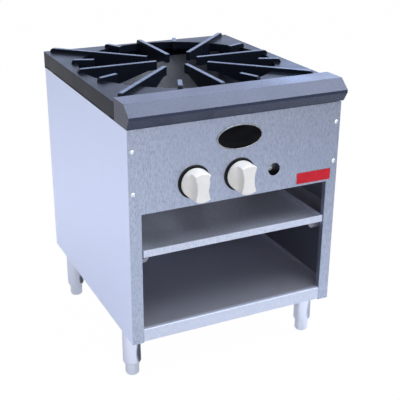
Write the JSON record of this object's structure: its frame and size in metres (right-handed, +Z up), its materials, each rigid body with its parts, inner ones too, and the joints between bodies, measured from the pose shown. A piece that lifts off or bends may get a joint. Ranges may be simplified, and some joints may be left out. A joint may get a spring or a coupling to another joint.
{
  "type": "stock pot range",
  "caption": "Low square stand with an open storage front, a pull-out drip tray, white knobs and a heavy cast top with radial pot-support fingers over a ring burner.",
  "frame": {"origin": "on the floor, in the middle of the bounding box", "axes": "+Z up, +Y from the front to the back, +X to the right as seen from the front"},
  "size_m": [0.4618, 0.579, 0.5987],
  "materials": {
    "stainless": "brushed stainless sheet",
    "cast_top": "cast iron with a thin dark coat",
    "rail": "dark satin coat",
    "leg_steel": "satin tube",
    "knob_white": "smooth white moulding",
    "bezel_black": "black moulding",
    "badge_black": "gloss black, bare",
    "badge_rim": "polished",
    "strip_red": "gloss red, bare",
    "pipe_black": "black iron pipe",
    "brass": "turned brass",
    "burner_iron": "bare casting",
    "tube_aluminium": "drawn tube",
    "inner_steel": "aluminised sheet",
    "fixings": "plain steel fixings"
  },
  "bodies": {
    "range": {"front_panel": "stainless", "side_panel_left": "stainless", "side_panel_right": "stainless", "back_panel": "inner_steel", "cabinet_floor": "inner_steel", "tray_runner_left": "inner_steel", "tray_runner_right": "inner_steel", "burner_support_front": "inner_steel", "burner_support_rear": "inner_steel", "pilot_bracket": "inner_steel", "pipe_straps": "inner_steel", "leg_gussets": "inner_steel", "front_rail": "rail", "leg_front_left": "leg_steel", "leg_front_right": "leg_steel", "leg_rear_left": "leg_steel", "leg_rear_right": "leg_steel", "bezel_left": "bezel_black", "bezel_right": "bezel_black", "oval_badge": "badge_black", "badge_rim_ring": "badge_rim", "red_strip": "strip_red", "manifold_pipe": "pipe_black", "manifold_cap": "pipe_black", "pipe_elbow": "pipe_black", "supply_pipe": "pipe_black", "gas_valve_left": "brass", "gas_valve_right": "brass", "orifice_hood_left": "brass", "orifice_hood_right": "brass", "pilot_valve": "brass", "burner_outer": "burner_iron", "burner_inner": "burner_iron", "pilot_tube": "tube_aluminium", "panel_screws": "fixings", "back_screws": "fixings", "rail_bolts": "fixings", "leg_nuts": "fixings", "pilot_burner": "fixings"},
    "grate": {"top_grate": "cast_top"},
    "tray": {"drip_tray": "inner_steel"},
    "control_left": {"knob_left": "knob_white", "valve_stem_left": "fixings"},
    "control_right": {"knob_right": "knob_white", "valve_stem_right": "fixings"},
    "shutter_left": {"air_shutter_left": "inner_steel"},
    "shutter_right": {"air_shutter_right": "inner_steel"},
    "pilot_adjuster": {"pilot_screw": "brass"},
    "foot_front_left": {"foot_front_left": "leg_steel"},
    "foot_front_right": {"foot_front_right": "leg_steel"},
    "foot_rear_left": {"foot_rear_left": "leg_steel"},
    "foot_rear_right": {"foot_rear_right": "leg_steel"}
  },
  "joints": [
    {"name": "grate_lift", "type": "slide", "parent": "range", "child": "grate", "axis": [0, 0, 1], "range_m": [0, 0.15]},
    {"name": "tray_slide", "type": "slide", "parent": "range", "child": "tray", "axis": [0, -1, 0], "range_m": [0, 0.46]},
    {"name": "knob_turn_left", "type": "hinge", "parent": "range", "child": "control_left", "pos_m": [-0.096, -0.2695, 0.4335], "axis": [0, -1, 0], "range_deg": [0, 90]},
    {"name": "knob_turn_right", "type": "hinge", "parent": "range", "child": "control_right", "pos_m": [0.0015, -0.2695, 0.4335], "axis": [0, -1, 0], "range_deg": [0, 90]},
    {"name": "shutter_turn_left", "type": "hinge", "parent": "range", "child": "shutter_left", "pos_m": [-0.096, -0.1525, 0.4335], "axis": [0, -1, 0], "range_deg": [0, 60]},
    {"name": "shutter_turn_right", "type": "hinge", "parent": "range", "child": "shutter_right", "pos_m": [0.0015, -0.1525, 0.4335], "axis": [0, -1, 0], "range_deg": [0, 60]},
    {"name": "pilot_screw_turn", "type": "hinge", "parent": "range", "child": "pilot_adjuster", "pos_m": [0.079, -0.2295, 0.428], "axis": [0, -1, 0], "range_deg": [0, 360]},
    {"name": "foot_level_front_left", "type": "slide", "parent": "range", "child": "foot_front_left", "axis": [0, 0, 1], "range_m": [-0.025, 0.005]},
    {"name": "foot_level_front_right", "type": "slide", "parent": "range", "child": "foot_front_right", "axis": [0, 0, 1], "range_m": [-0.025, 0.005]},
    {"name": "foot_level_rear_left", "type": "slide", "parent": "range", "child": "foot_rear_left", "axis": [0, 0, 1], "range_m": [-0.025, 0.005]},
    {"name": "foot_level_rear_right", "type": "slide", "parent": "range", "child": "foot_rear_right", "axis": [0, 0, 1], "range_m": [-0.025, 0.005]}
  ]
}
